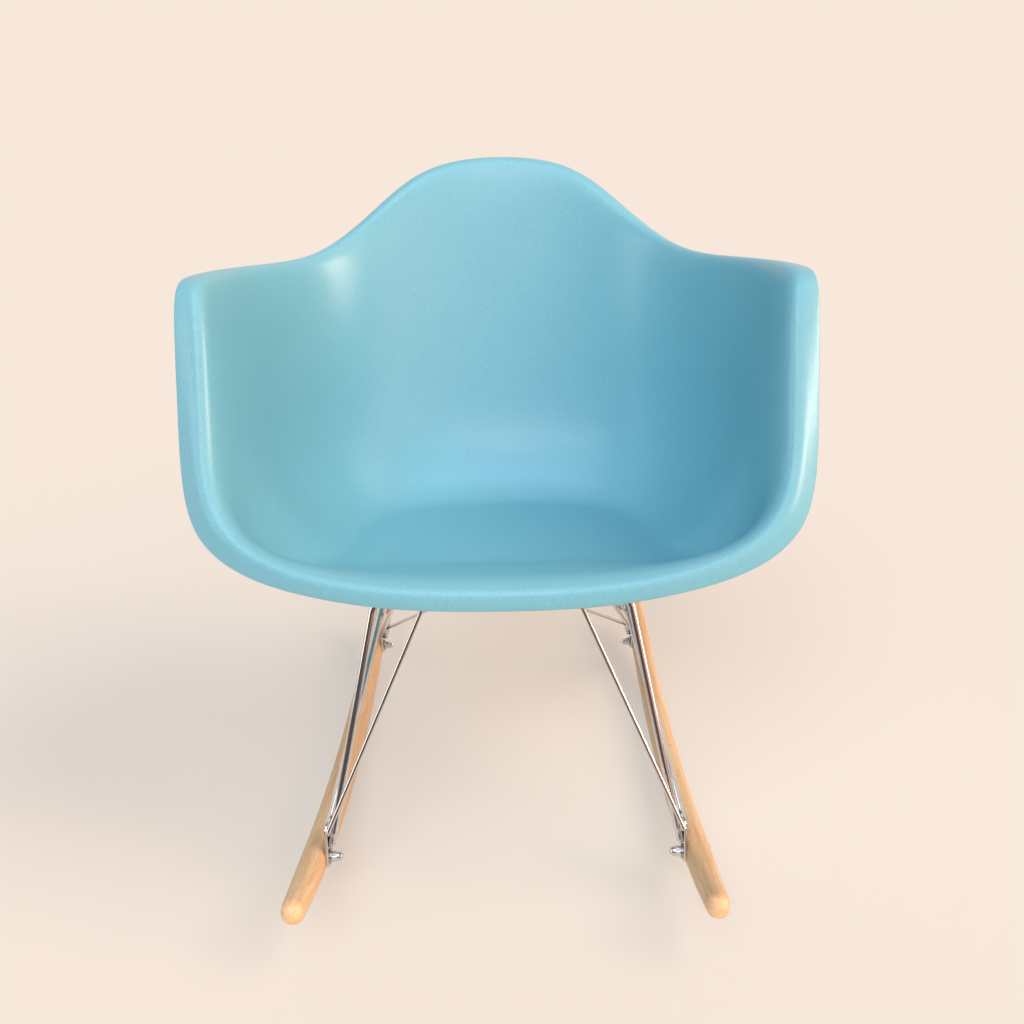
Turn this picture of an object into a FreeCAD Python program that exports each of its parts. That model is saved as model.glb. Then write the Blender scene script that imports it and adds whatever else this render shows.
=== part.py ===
import FreeCAD, Part
import math
import os

os.makedirs("parts", exist_ok=True)
V = FreeCAD.Vector

# Moulded plastic rocking chair.
# Millimetres. The floor is z = 0, the chair's front faces -Y, +X is to the right seen from
# the front, and the origin lies on the floor midway between the rockers and their tips.

# overall sizes of the moulded shell
shell_width = 619.0
shell_depth = 553.0
shell_rise = 410.0
seat_height = 301.0
wall = 5.0

# rockers
rocker_length = 690.0
rocker_spacing = 390.0
rocker_width = 25.0
rocker_height = 36.0
tip_width = 21.0
tip_height = 24.6
taper_length = 120.0
arc_radius = 1150.0
contact_y = 20.0
edge_round = 10.0
tip_round = 11.2

# wire base
foot_pitch = 466.0
rod_d = 8.0
brace_d = 4.5
bend_radius = 22.0
front_bar_y = -150.0
rear_bar_y = 110.0
bar_half = 128.0
front_brace_x = 76.0
rear_brace_x = 40.0
crossing_gap = 2.2
plate_thickness = 3.0
plate_half = 10.5
plate_rise = 28.0
leg_standoff = 2.0
leg_end_rise = 12.0
leg_end_lean = 1.0
weld_sink = 0.8
weld_overlap = 1.0
diagonal_inset = 2.5
diagonal_drop = 0.6
brace_inset = 0.2
brace_step = 3.0

# seat mounts
mount_x = 88.0
mount_step = 16.0
tab_thickness = 3.0
tab_width = 32.0
tab_corner = 5.0
pad_d = 28.0
pad_height = 5.0
boss_d = 25.0
boss_drop = 3.0
boss_cover = 0.35
insert_d = 9.5
insert_length = 6.0

# fasteners
screw_d = 6.0
screw_head_d = 11.0
screw_head_height = 4.0
screw_head_round = 1.2
screw_tip_gap = 0.5
washer_d = 15.0
washer_thickness = 1.4
bolt_head_d = 14.0
bolt_head_height = 3.2
bolt_head_round = 1.6
key_flats = 4.0
key_depth = 2.2
nut_flats = 10.0
nut_height = 6.0
nut_collar_d = 12.0
nut_collar_height = 1.2
nut_crown = 0.95
nut_crown_height = 1.2

# clearances
hole_clearance = 0.4
thread_clearance = 0.1
socket_clearance = 0.2

# Shape of the shell's outside, on 18 stations of one half: from the middle of the front lip,
# round the arm, to the middle of the back. Each row holds x, y and height above the seat's
# underside, drawn at the drawn sizes. The foot line is where seat and wall would meet without
# the bend between them, the shoulder line is where the wall turns over, and the rim line is the
# free edge.
drawn_width = 619.0
drawn_depth = 553.0
drawn_rise = 410.0
foot_line = [
    (0, -150, 27), (70, -150, 27), (140, -149, 26), (195, -145, 23), (228, -136, 18),
    (243, -120, 12), (249, -100, 8), (251, -78, 4), (252, -55, 1), (252, -25, -2),
    (250, 20, -5), (243, 65, -7), (222, 115, -8), (190, 150, -8), (150, 170, -7),
    (105, 182, -6), (55, 188, -5), (0, 190, -5),
]
shoulder_line = [
    (0, -246, 57), (88, -244, 58), (163, -238, 66), (226, -222, 83), (261, -198, 111),
    (276, -168, 153), (278, -141, 206), (280, -117, 262), (282, -97, 306), (281, -50, 312),
    (278, 12, 309), (264, 74, 305), (238, 138, 301), (205, 191, 307), (162, 238, 336),
    (114, 269, 378), (66, 289, 398), (0, 295, 404),
]
rim_line = [
    (0, -240, 32), (92, -238, 33), (171, -230, 43), (239, -212, 56), (286, -184, 81),
    (302, -154, 124), (304, -128, 193), (306, -103, 260), (306, -88, 306), (304, -50, 306),
    (298, 10, 302), (281, 76, 298), (250, 145, 294), (216, 200, 299), (169, 248, 333),
    (120, 280, 378), (71, 300, 401), (0, 306, 407),
]
seat_middle_y = -10.0
seat_slope = 0.06
# rows of the seat: share of the way from its middle to the foot line, share of the rise there
seat_rows = ((0.08, 0.0), (0.16, 0.0), (0.40, 0.0), (0.64, 0.2))
wall_rows = (0.60, 0.88)
edge_rows = (0.12, 0.65, 1.0)
# at the front the wall turns over in a wider bend: the rows beside the shoulder move away from it
front_wall_shift = (0.0, -0.22)
front_edge_shift = (0.50, 0.26, 0.0)
# the bend between seat and wall, as shares of the wall: at the front, more at sides and back
front_bend = 0.10
side_bend = 0.26
back_bend = 0.12
bend_on_seat = 0.7
# the free edge is rounded through two rows, this far across and ahead of it
lip_rows = (0.1, 0.9)
lip_reach = 0.55


underside_height = seat_height - wall


def scaled(line):
    kx = shell_width / drawn_width
    ky = shell_depth / drawn_depth
    kz = shell_rise / drawn_rise
    half = [V(x * kx, y * ky, underside_height + z * kz) for x, y, z in line]
    other = [V(-p.x, p.y, p.z) for p in reversed(half[1:-1])]
    return half + other


def seat_plane(x, y):
    return V(x, y, underside_height - seat_slope * (y - seat_middle_y))


def toward(start, end):
    step = end - start
    step.normalize()
    return step


def bend(k):
    aside = k.x * 2 / shell_width
    behind = max(k.y, 0) * 2 / shell_depth
    return front_bend + side_bend * aside ** 2 + back_bend * behind ** 2


def ahead_share(w):
    # near 1 at the front lip and near 0 from the arms backward
    return max(-w.y * 2 / shell_depth, 0) ** 4


def outside_rows():
    foot = scaled(foot_line)
    shoulder = scaled(shoulder_line)
    rim = scaled(rim_line)
    middle = seat_plane(0, seat_middle_y)
    rows = []
    for part, lift in seat_rows:
        row = []
        for k in foot:
            p = seat_plane(k.x * part, seat_middle_y + (k.y - seat_middle_y) * part)
            q = seat_plane(k.x, k.y)
            row.append(V(p.x, p.y, p.z + lift * (k.z - q.z)))
        rows.append(row)
    row = []
    for k, w in zip(foot, shoulder):
        reach = (w - k).Length * bend(k) * bend_on_seat
        row.append(k + toward(k, middle) * reach)
    rows.append(row)
    rows.append([k + (w - k) * bend(k) for k, w in zip(foot, shoulder)])
    for part, shift in zip(wall_rows, front_wall_shift):
        rows.append([k + (w - k) * (part + shift * ahead_share(w)) for k, w in zip(foot, shoulder)])
    for part, shift in zip(edge_rows, front_edge_shift):
        rows.append([w + (r - w) * (part + shift * ahead_share(w)) for w, r in zip(shoulder, rim)])
    return rows


def inside_normal(rows, i, j):
    # normal of the control net, pointing to the side that is sat in
    n = len(rows[0])
    along = rows[i][(j + 1) % n] - rows[i][(j - 1) % n]
    lo = max(i - 1, 0)
    hi = min(i + 1, len(rows) - 1)
    across = rows[hi][j] - rows[lo][j]
    normal = across.cross(along)
    normal.normalize()
    return normal


def shell_surface():
    # one smooth surface: up the outside, round the free edge and back down the inside
    outside = outside_rows()
    seat_normal = toward(V(0, 0, 0), V(0, seat_slope, 1))
    inside = []
    for i, row in enumerate(outside):
        if i < 2:
            inside.append([p + seat_normal * wall for p in row])
        else:
            inside.append([p + inside_normal(outside, i, j) * wall for j, p in enumerate(row)])
    lip = []
    for part in lip_rows:
        row = []
        for j, p in enumerate(outside[-1]):
            ahead = toward(outside[-2][j], p)
            row.append(p + (inside[-1][j] - p) * part + ahead * wall * lip_reach)
        lip.append(row)
    rows = outside + lip + list(reversed(inside))
    count = len(rows)
    around = len(rows[0])
    poles = [[rows[i][j] for i in range(count)] for j in range(around)]
    surface = Part.BSplineSurface()
    surface.buildFromPolesMultsKnots(
        poles,
        [1] * (around + 1),
        [4] + [1] * (count - 4) + [4],
        list(range(around + 1)),
        list(range(count - 2)),
        True,
        False,
        3,
        3,
    )
    return surface


def shell_blank(surface):
    # the surface is open in the seat's middle, inside and underneath, where flat discs close it
    skin = surface.toShape()
    caps = []
    for edge in skin.Edges:
        box = edge.BoundBox
        if edge.isClosed() and box.XLength < shell_width / 4 and box.YLength < shell_depth / 4:
            caps.append(Part.Face(Part.Wire(edge)))
    shape = Part.Shell([skin] + caps)
    shape.sewShape()
    solid = Part.Solid(shape)
    if solid.Volume < 0:
        solid.reverse()
    return solid


def cylinder(base, axis, d, length):
    return Part.makeCylinder(d / 2, length, base, axis)


def ring(base, axis, outer_d, inner_d, length):
    return cylinder(base, axis, outer_d, length).cut(cylinder(base, axis, inner_d, length))


def hexagonal_bar(base, axis, flats, length):
    side = V(0, 1, 0)
    other = axis.cross(side)
    corner = flats / math.sqrt(3)
    points = []
    for k in range(7):
        turn = math.radians(60 * k)
        points.append(base + side * (corner * math.cos(turn)) + other * (corner * math.sin(turn)))
    return Part.Face(Part.makePolygon(points)).extrude(axis * length)


def rod(start, end, d):
    # straight round bar with a domed lower end
    bar = cylinder(start, end - start, d, (end - start).Length)
    return bar.fuse(Part.makeSphere(d / 2, start)).removeSplitter()


def bent_bar(points, d, radius):
    # round bar that follows the points, bent to the radius at each inner one
    edges = []
    last = points[0]
    for before, here, after in zip(points, points[1:], points[2:]):
        a = toward(here, before)
        b = toward(here, after)
        half = a.getAngle(b) / 2
        reach = radius / math.tan(half)
        bisector = toward(V(0, 0, 0), a + b)
        centre = here + bisector * (radius / math.sin(half))
        p = here + a * reach
        q = here + b * reach
        edges.append(Part.makeLine(last, p))
        edges.append(Part.Arc(p, centre - bisector * radius, q).toShape())
        last = q
    edges.append(Part.makeLine(last, points[-1]))
    path = Part.Wire(edges)
    section = Part.Wire(Part.makeCircle(d / 2, points[0], points[1] - points[0]))
    return path.makePipeShell([section], True, False)


def largest(shape):
    return max(shape.Solids, key=lambda s: s.Volume)


def mirrored(shape):
    return shape.mirror(V(0, 0, 0), V(1, 0, 0))


def save(name, shape):
    shape.exportStep("parts/" + name + ".step")
    print(name, len(shape.Solids), "solid", round(shape.Volume / 1000, 2), "cm3", shape.isValid())


def save_pair(name, left):
    save(name + "_left", left)
    save(name + "_right", mirrored(left))


def save_group(name, left_ones):
    save(name, Part.makeCompound(left_ones + [mirrored(one) for one in left_ones]))


def arc_rise(y):
    # height of the rockers' underside over the floor
    return arc_radius - math.sqrt(arc_radius ** 2 - (y - contact_y) ** 2)


up = V(0, 0, 1)
inward = V(1, 0, 0)
foot_y = foot_pitch / 2
bolt_z_front = arc_rise(-foot_y) + rocker_height / 2
bolt_z_rear = arc_rise(foot_y) + rocker_height / 2
inner_face = -(rocker_spacing - rocker_width) / 2
outer_face = -(rocker_spacing + rocker_width) / 2
plate_face = inner_face + plate_thickness
surface = shell_surface()


def wall_heights(x, y):
    # heights of the shell's underside and of its seat at one place
    reach = shell_rise / 5
    probe = Part.LineSegment(V(x, y, seat_height - reach), V(x, y, seat_height + reach))
    heights = sorted(p.Z for p in probe.intersectCS(surface)[0])
    return heights[0], heights[1]


def mount_heights(hole_y):
    # lower face of the mounting boss, and its top, which ends inside the shell's wall
    lows = []
    highs = []
    for k in range(12):
        turn = math.radians(30 * k)
        x = -mount_x + boss_d / 2 * math.cos(turn)
        y = hole_y + boss_d / 2 * math.sin(turn)
        low, high = wall_heights(x, y)
        lows.append(low)
        highs.append(high)
    return min(lows) - boss_drop, min(highs) - wall * boss_cover


def bar_height(foot_z):
    return foot_z - pad_height - tab_thickness + weld_sink - rod_d / 2


front_hole_y = front_bar_y + mount_step
rear_hole_y = rear_bar_y - mount_step
front_mount = mount_heights(front_hole_y)
rear_mount = mount_heights(rear_hole_y)
front_bar_z = bar_height(front_mount[0])
rear_bar_z = bar_height(rear_mount[0])
print("crossbar heights", round(front_bar_z, 1), round(rear_bar_z, 1))


def mounted_shell():
    shell = shell_blank(surface)
    for hole_y, (foot_z, top_z) in ((front_hole_y, front_mount), (rear_hole_y, rear_mount)):
        centre = V(-mount_x, hole_y, foot_z)
        boss = cylinder(centre, up, boss_d, top_z - foot_z)
        depth = insert_length + socket_clearance
        socket = cylinder(centre, up, insert_d + socket_clearance, depth)
        shell = shell.fuse(boss).fuse(mirrored(boss))
        shell = shell.cut(socket).cut(mirrored(socket))
    return shell.removeSplitter()


def insert(hole_y, foot_z):
    base = V(-mount_x, hole_y, foot_z)
    return ring(base, up, insert_d, screw_d + thread_clearance, insert_length)


def pad(hole_y, foot_z):
    base = V(-mount_x, hole_y, foot_z - pad_height)
    return ring(base, up, pad_d, screw_d + hole_clearance, pad_height)


def tab_base(hole_y, foot_z):
    return V(-mount_x, hole_y, foot_z - pad_height - tab_thickness)


def tab(bar_y, hole_y, foot_z, frame):
    # flat plate over the crossbar and under the pad, hollowed where the bar is welded in
    base = tab_base(hole_y, foot_z)
    reach = rod_d / 2 + mount_step + pad_d / 2
    near = bar_y - rod_d / 2
    if hole_y < bar_y:
        near = bar_y + rod_d / 2 - reach
    corner = V(base.x - tab_width / 2, near, base.z)
    plate = Part.makeBox(tab_width, reach, tab_thickness, corner)
    uprights = [e for e in plate.Edges if e.BoundBox.ZLength > tab_thickness / 2]
    plate = plate.makeFillet(tab_corner, uprights)
    plate = plate.cut(cylinder(base, up, screw_d + hole_clearance, tab_thickness))
    return plate.cut(frame)


def mount_washer(hole_y, foot_z):
    base = tab_base(hole_y, foot_z) - up * washer_thickness
    return ring(base, up, washer_d, screw_d + hole_clearance, washer_thickness)


def mount_screw(hole_y, foot_z):
    seat = tab_base(hole_y, foot_z) - up * washer_thickness
    length = washer_thickness + tab_thickness + pad_height + insert_length - screw_tip_gap
    low = seat - up * screw_head_height
    head = cylinder(low, up, screw_head_d, screw_head_height)
    rims = [e for e in head.Edges if e.BoundBox.ZLength < screw_head_height / 2]
    head = head.makeFillet(screw_head_round, rims)
    screw = head.fuse(cylinder(seat, up, screw_d, length))
    return screw.cut(hexagonal_bar(low, up, key_flats, key_depth)).removeSplitter()


def leg_line(sign, bar_y, bar_z, bolt_z):
    foot = V(plate_face + leg_standoff, sign * (foot_y + leg_end_lean), bolt_z + leg_end_rise)
    return foot, V(-bar_half, bar_y, bar_z)


def on_leg(leg, z):
    foot, corner = leg
    return foot + (corner - foot) * ((z - foot.z) / (corner.z - foot.z))


def wire_frame(leg):
    # one bar bent into leg, crossbar, leg
    foot, corner = leg
    points = [foot, corner, V(-corner.x, corner.y, corner.z), V(-foot.x, foot.y, foot.z)]
    return bent_bar(points, rod_d, bend_radius)


def foot_plate(leg, sign, bolt_z):
    # flat tongue against the rocker, round at both ends and bolted through the lower one
    low = V(inner_face, sign * foot_y, bolt_z)
    top = on_leg(leg, bolt_z + plate_rise)
    high = V(inner_face, top.y, top.z)
    side = toward(V(0, 0, 0), (high - low).cross(inward)) * plate_half
    outline = Part.makePolygon([low + side, high + side, high - side, low - side, low + side])
    plate = Part.Face(outline).extrude(inward * plate_thickness)
    for end in (low, high):
        plate = plate.fuse(cylinder(end, inward, plate_half * 2, plate_thickness))
    hole = cylinder(low, inward, screw_d + hole_clearance, plate_thickness)
    return plate.removeSplitter().cut(hole)


front_leg = leg_line(-1, front_bar_y, front_bar_z, bolt_z_front)
rear_leg = leg_line(1, rear_bar_y, rear_bar_z, bolt_z_rear)
front_plate = foot_plate(front_leg, -1, bolt_z_front)
rear_plate = foot_plate(rear_leg, 1, bolt_z_rear)
front_frame = largest(wire_frame(front_leg).cut(front_plate.fuse(mirrored(front_plate))))
rear_frame = largest(wire_frame(rear_leg).cut(rear_plate.fuse(mirrored(rear_plate))))


def diagonal_foot(leg, sign, bolt_z):
    # lower end of a thick diagonal, beside the upper end of the foot plate
    top = on_leg(leg, bolt_z + plate_rise)
    return V(
        inner_face + rod_d / 2 - diagonal_inset,
        top.y - sign * (plate_half - weld_overlap),
        top.z - weld_overlap,
    )


def inboard_end(low, other_low, other_high):
    # upper end on the front crossbar of a rod that passes inboard of the other one, where the
    # two cross as seen from the side
    other = other_high - other_low
    run_y = front_bar_y - low.y
    run_z = front_bar_z - low.z
    dy = other_low.y - low.y
    dz = other_low.z - low.z
    scale = run_z * other.y - run_y * other.z
    along = (dz * other.y - dy * other.z) / scale
    other_along = (run_y * dz - run_z * dy) / scale
    x = other_low.x + other.x * other_along + rod_d + crossing_gap
    return V(low.x + (x - low.x) / along, front_bar_y, front_bar_z)


def diagonal(low, high, plate):
    # welded on a little below the crossbar's axis
    bar = rod(low, high - up * diagonal_drop, rod_d)
    return largest(bar.cut(rear_frame).cut(front_frame).cut(plate))


def front_brace():
    # thin rod in the plane of the front frame, from the foot plate in to the crossbar
    top = on_leg(front_leg, bolt_z_front + plate_rise + weld_overlap)
    side = inner_face + brace_d / 2 + brace_inset
    low = V(side, top.y - plate_half + weld_overlap / 2, top.z)
    high = V(-front_brace_x, front_bar_y - brace_step, front_bar_z - brace_step)
    return largest(rod(low, high, brace_d).cut(front_frame).cut(front_plate))


def rear_brace():
    # thin rod from the rear leg in to the front crossbar
    low = on_leg(rear_leg, bolt_z_rear + plate_rise + rod_d / 2)
    high = V(-rear_brace_x, front_bar_y, front_bar_z)
    return largest(rod(low, high, brace_d).cut(front_frame).cut(rear_frame))


def rocker_plan():
    # seen from above: straight sides that curve in a little toward both tips
    half = rocker_length / 2
    left = outer_face
    right = outer_face + rocker_width
    start = half - taper_length
    taper = (rocker_width - tip_width) / 2
    sweep_radius = (taper_length ** 2 + taper ** 2) / (2 * taper)
    reach = taper_length + tip_round

    def curve(side, end):
        # one tapering side, past the tip, as an arc tangent to the straight part
        turn = 1 if side == left else -1
        points = []
        for run in (0, reach / 2, reach):
            step = sweep_radius - math.sqrt(sweep_radius ** 2 - run ** 2)
            points.append(V(side + turn * step, end * (start + run), 0))
        return points

    corners = [curve(left, -1), curve(right, -1), curve(right, 1), curve(left, 1)]
    arcs = [Part.Arc(*points).toShape() for points in corners]
    ends = [points[2] for points in corners]
    lines = [Part.makeLine(ends[0], ends[1]), Part.makeLine(ends[2], ends[3])]
    sides = [Part.makeLine(corners[1][0], corners[2][0]), Part.makeLine(corners[3][0], corners[0][0])]
    outline = Part.Wire(Part.__sortEdges__(arcs + lines + sides))
    return Part.Face(outline).extrude(up * (arc_rise(-half) + rocker_height))


def rocker_blank():
    # bent slat with a round section and blunt round tips
    half = rocker_length / 2
    low_front = V(outer_face, -half, arc_rise(-half))
    low_rear = V(outer_face, half, arc_rise(half))
    high_front = low_front + up * tip_height
    high_rear = low_rear + up * tip_height
    bottom = Part.Arc(low_front, V(outer_face, contact_y, 0), low_rear).toShape()
    top = Part.Arc(high_front, V(outer_face, contact_y, rocker_height), high_rear).toShape()
    rear_end = Part.makeLine(low_rear, high_rear)
    front_end = Part.makeLine(high_front, low_front)
    outline = Part.Wire([bottom, rear_end, top, front_end])
    slat = Part.Face(outline).extrude(inward * rocker_width).common(rocker_plan())
    corners = [e for e in slat.Edges if e.BoundBox.XLength > rocker_width / 2]
    slat = slat.makeFillet(tip_round, corners)
    sides = [face for face in slat.Faces if face.BoundBox.XLength < rocker_width / 2]
    edges = [edge for face in sides for edge in face.Edges]
    loops = [edge for edge in edges if sum(edge.isSame(other) for other in edges) == 1]
    return slat.makeFillet(edge_round, loops)


def bolt_points():
    return [V(outer_face, -foot_y, bolt_z_front), V(outer_face, foot_y, bolt_z_rear)]


recess = washer_thickness + bolt_head_height


def rocker():
    slat = rocker_blank()
    for mouth in bolt_points():
        slat = slat.cut(cylinder(mouth, inward, screw_d + hole_clearance, rocker_width))
        slat = slat.cut(cylinder(mouth, inward, washer_d + hole_clearance, recess))
    return slat


def bolt_washer(base):
    return ring(base, inward, washer_d, screw_d + hole_clearance, washer_thickness)


def rocker_bolt(mouth):
    length = rocker_width + plate_thickness + washer_thickness + nut_height
    head = cylinder(mouth, inward, bolt_head_d, bolt_head_height)
    rims = [e for e in head.Edges if e.BoundBox.XMax < mouth.x + bolt_head_height / 2]
    head = head.makeFillet(bolt_head_round, rims)
    bolt = head.fuse(cylinder(mouth, inward, screw_d, length))
    return bolt.cut(hexagonal_bar(mouth, inward, key_flats, key_depth)).removeSplitter()


def dome_nut(base):
    dome_d = nut_flats * nut_crown
    shoulder = base + inward * nut_height
    crown = shoulder + inward * nut_crown_height
    nut = hexagonal_bar(base, inward, nut_flats, nut_height)
    nut = nut.fuse(cylinder(base, inward, nut_collar_d, nut_collar_height))
    nut = nut.fuse(cylinder(shoulder, inward, dome_d, nut_crown_height))
    nut = nut.fuse(Part.makeSphere(dome_d / 2, crown, inward, 0, 90, 360)).removeSplitter()
    depth = nut_height + thread_clearance
    return nut.cut(cylinder(base, inward, screw_d + thread_clearance, depth))


save("seat_shell", mounted_shell())
mounts = ((front_hole_y, front_mount[0]), (rear_hole_y, rear_mount[0]))
save_group("mount_inserts", [insert(y, z) for y, z in mounts])
save_group("mount_washers", [mount_washer(y, z) for y, z in mounts])
save_group("mount_screws", [mount_screw(y, z) for y, z in mounts])
save_pair("front_pad", pad(front_hole_y, front_mount[0]))
save_pair("rear_pad", pad(rear_hole_y, rear_mount[0]))
save_pair("front_tab", tab(front_bar_y, front_hole_y, front_mount[0], front_frame))
save_pair("rear_tab", tab(rear_bar_y, rear_hole_y, rear_mount[0], rear_frame))

save("front_frame", front_frame)
save("rear_frame", rear_frame)
save_pair("front_foot_plate", front_plate)
save_pair("rear_foot_plate", rear_plate)
front_low = diagonal_foot(front_leg, -1, bolt_z_front)
rear_low = diagonal_foot(rear_leg, 1, bolt_z_rear)
front_high = V(-bar_half, rear_bar_y, rear_bar_z)
rear_high = inboard_end(rear_low, front_low, front_high)
save_pair("front_diagonal", diagonal(front_low, front_high, front_plate))
save_pair("rear_diagonal", diagonal(rear_low, rear_high, rear_plate))
print("inner diagonal ends at", round(rear_high.x, 2))
save_pair("front_brace", front_brace())
save_pair("rear_brace", rear_brace())

save_pair("rocker", rocker())
save_group("rocker_bolts", [rocker_bolt(p) for p in bolt_points()])
to_outer_washer = inward * bolt_head_height
to_inner_washer = inward * (rocker_width + plate_thickness)
outer_washers = [bolt_washer(p + to_outer_washer) for p in bolt_points()]
inner_washers = [bolt_washer(p + to_inner_washer) for p in bolt_points()]
save_group("bolt_washers", outer_washers + inner_washers)
to_nut = to_inner_washer + inward * washer_thickness
save_group("dome_nuts", [dome_nut(p + to_nut) for p in bolt_points()])
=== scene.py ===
# %% [markdown]
# # A moulded rocking chair
# The chair is one plastic shell on a chromed wire base, bolted to two bent beech rockers. The
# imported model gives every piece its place. This lesson gives them their real rounding, welds and
# finishes. First the model is loaded, in metres.

# %% Load the fixed model
import math
import bpy
import numpy as np
from mathutils import Matrix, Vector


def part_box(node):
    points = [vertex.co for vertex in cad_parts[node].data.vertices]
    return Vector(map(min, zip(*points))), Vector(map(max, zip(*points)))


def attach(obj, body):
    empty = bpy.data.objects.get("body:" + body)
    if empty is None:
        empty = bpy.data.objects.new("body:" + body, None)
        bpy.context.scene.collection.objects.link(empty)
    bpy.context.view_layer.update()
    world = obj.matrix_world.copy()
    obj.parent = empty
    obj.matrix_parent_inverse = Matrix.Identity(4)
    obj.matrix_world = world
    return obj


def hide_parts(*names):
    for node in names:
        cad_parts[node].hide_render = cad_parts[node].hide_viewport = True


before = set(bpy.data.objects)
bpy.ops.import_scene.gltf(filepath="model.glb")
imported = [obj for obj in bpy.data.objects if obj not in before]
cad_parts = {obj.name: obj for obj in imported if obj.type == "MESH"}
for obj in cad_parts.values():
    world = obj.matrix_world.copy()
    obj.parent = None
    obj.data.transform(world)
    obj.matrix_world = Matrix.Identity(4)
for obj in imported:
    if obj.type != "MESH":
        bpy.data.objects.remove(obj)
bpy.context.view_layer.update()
MM = 0.001
ACROSS, BACK, UP = np.eye(3)
FLIP = np.array([-1.0, 1.0, 1.0])

# %% [markdown]
# ## Helpers for materials
# A photograph gives a colour in sRGB, while a shader counts light, so one function turns hex
# into linear values. Another adds a node with its settings and links, which keeps materials short.

# %% Colours and nodes
def colour(code):
    """sRGB hex to linear RGBA: below 0.04 a straight line, above it a power of 2.4."""
    s = np.array([int(code[i:i + 2], 16) for i in (1, 3, 5)]) / 255
    light = np.where(s <= 0.04045, s / 12.92, ((s + 0.055) / 1.055) ** 2.4)
    return (*light.tolist(), 1.0)


def add(tree, kind, inputs=None, **settings):
    """Adds a node. A socket among the inputs is linked, a node by its first output that is in
    use, and any other value is set."""
    node = tree.nodes.new("ShaderNode" + kind)
    for name, value in settings.items():
        setattr(node, name, value)
    for name, value in (inputs or {}).items():
        if isinstance(value, bpy.types.Node):
            value = next(socket for socket in value.outputs if socket.enabled)
        if isinstance(value, bpy.types.NodeSocket):
            tree.links.new(value, node.inputs[name])
        else:
            node.inputs[name].default_value = value
    return node


def new_material(name):
    """An empty material and its node tree."""
    material = bpy.data.materials.new(name)
    material.use_nodes = True
    material.node_tree.nodes.clear()
    return material, material.node_tree


def ramp_stops(node, stops):
    """Sets a colour ramp to (position, hex) stops."""
    ramp = node.color_ramp
    for spot, (position, code) in enumerate(stops):
        stop = ramp.elements[spot] if spot < 2 else ramp.elements.new(position)
        stop.position = position
        stop.color = colour(code)


print("the shell's blue in linear light", np.round(colour("#7BBACB"), 3))

# %% [markdown]
# ## Helpers for surfaces
# Most pieces are a grid of points: rows that follow each other, each a closed ring. Neighbouring
# rows make four-sided faces, and a fan to a middle point closes each end. Faces that look outwards
# enclose a positive volume, so they are turned where it is negative.

# %% Grid to faces
def ring_quads(rows, columns, closed):
    """Corner numbers of the quads between each ring and the next."""
    here = np.arange(rows * columns).reshape(rows, columns)
    above = np.roll(here, -1, 0)
    quads = np.stack([here, above, np.roll(above, -1, 1), np.roll(here, -1, 1)], -1)
    return quads[:rows if closed else -1].reshape(-1, 4)


def skin(grid, closed):
    """Points, quads and triangles of a grid. An open one gets a middle point at each end and a
    fan of triangles to it."""
    rows, columns = grid.shape[:2]
    points, quads = grid.reshape(-1, 3), ring_quads(rows, columns, closed)
    if closed:
        return points, quads, np.zeros((0, 3), int)
    size, c = rows * columns, np.arange(columns)
    right, last = (c + 1) % columns, size - columns
    fans = [(c * 0 + size, c, right), (c * 0 + size + 1, right + last, c + last)]
    points = np.concatenate([points, [grid[0].mean(0), grid[-1].mean(0)]])
    return points, quads, np.concatenate([np.stack(fan, -1) for fan in fans])


def enclosed(points, faces):
    """Volume inside the faces: each fan triangle and the origin make a pyramid, and its volume is
    a sixth of a . (b x c)."""
    corner = points[faces]
    return (corner[:, :1] * np.cross(corner[:, 1:-1], corner[:, 2:])).sum() / 6


def unit(vectors):
    """Vectors divided by their own lengths."""
    return vectors / np.linalg.norm(vectors, axis=-1, keepdims=True)


print("three rings of eight points make", len(ring_quads(3, 8, False)), "quads")

# %% [markdown]
# A piece also needs a material, the body that it rides on and the nodes that it stands for. Most
# come in pairs, the right one mirrored.

# %% Faces to pieces
def new_object(name, data):
    """An object in the scene."""
    made = bpy.data.objects.new(name, data)
    bpy.context.scene.collection.objects.link(made)
    return made


def make_piece(name, grids, material, stands_for, sharp=None):
    """A smooth mesh from grids in millimetres, in place of nodes. Edges that turn by more than
    the sharp angle, in degrees, stay sharp."""
    points, faces = np.zeros((0, 3)), []
    for grid in grids:
        own, quads, fans = skin(*grid)
        if enclosed(own, quads) + enclosed(own, fans) < 0:
            quads, fans = quads[:, ::-1], fans[:, ::-1]
        faces += (quads + len(points)).tolist() + (fans + len(points)).tolist()
        points = np.concatenate([points, own])
    mesh = bpy.data.meshes.new(name)
    mesh.from_pydata((points * MM).tolist(), [], faces)
    mesh.polygons.foreach_set("use_smooth", np.ones(len(faces), bool))
    if sharp is not None:
        mesh.set_sharp_from_angle(angle=math.radians(sharp))
    mesh.materials.append(material)
    piece = new_object(name, mesh)
    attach(piece, "root")
    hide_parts(*stands_for)
    print(name, len(mesh.vertices), "points", len(mesh.polygons), "faces")


def mirrored(grid):
    """The same points on the other side of the chair: x changes sign."""
    points, closed = grid
    return points * FLIP, closed


def both_sides(name, grid, material, node):
    """A piece on the left and its mirror image on the right."""
    make_piece(name + "_left", [grid], material, [node + "_left"])
    make_piece(name + "_right", [mirrored(grid)], material, [node + "_right"])


# %% [markdown]
# ## The camera
# The photographer stood in front of the chair and looked down by about 21 degrees. The place, the
# angles and the focal length come from points of the photograph whose real places are known, such
# as the rockers' tips and the cap nuts.

# %% Camera
# the eye in mm, and its three angles in radians
eye = np.array([15.4, -1059.5, 731.2])
pitch, swing, roll = 0.36153, -0.00397, -0.01768
focal_pixels, frame_pixels, sensor_mm, clip_end_m = 994.94, 1024, 36, 200


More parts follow.
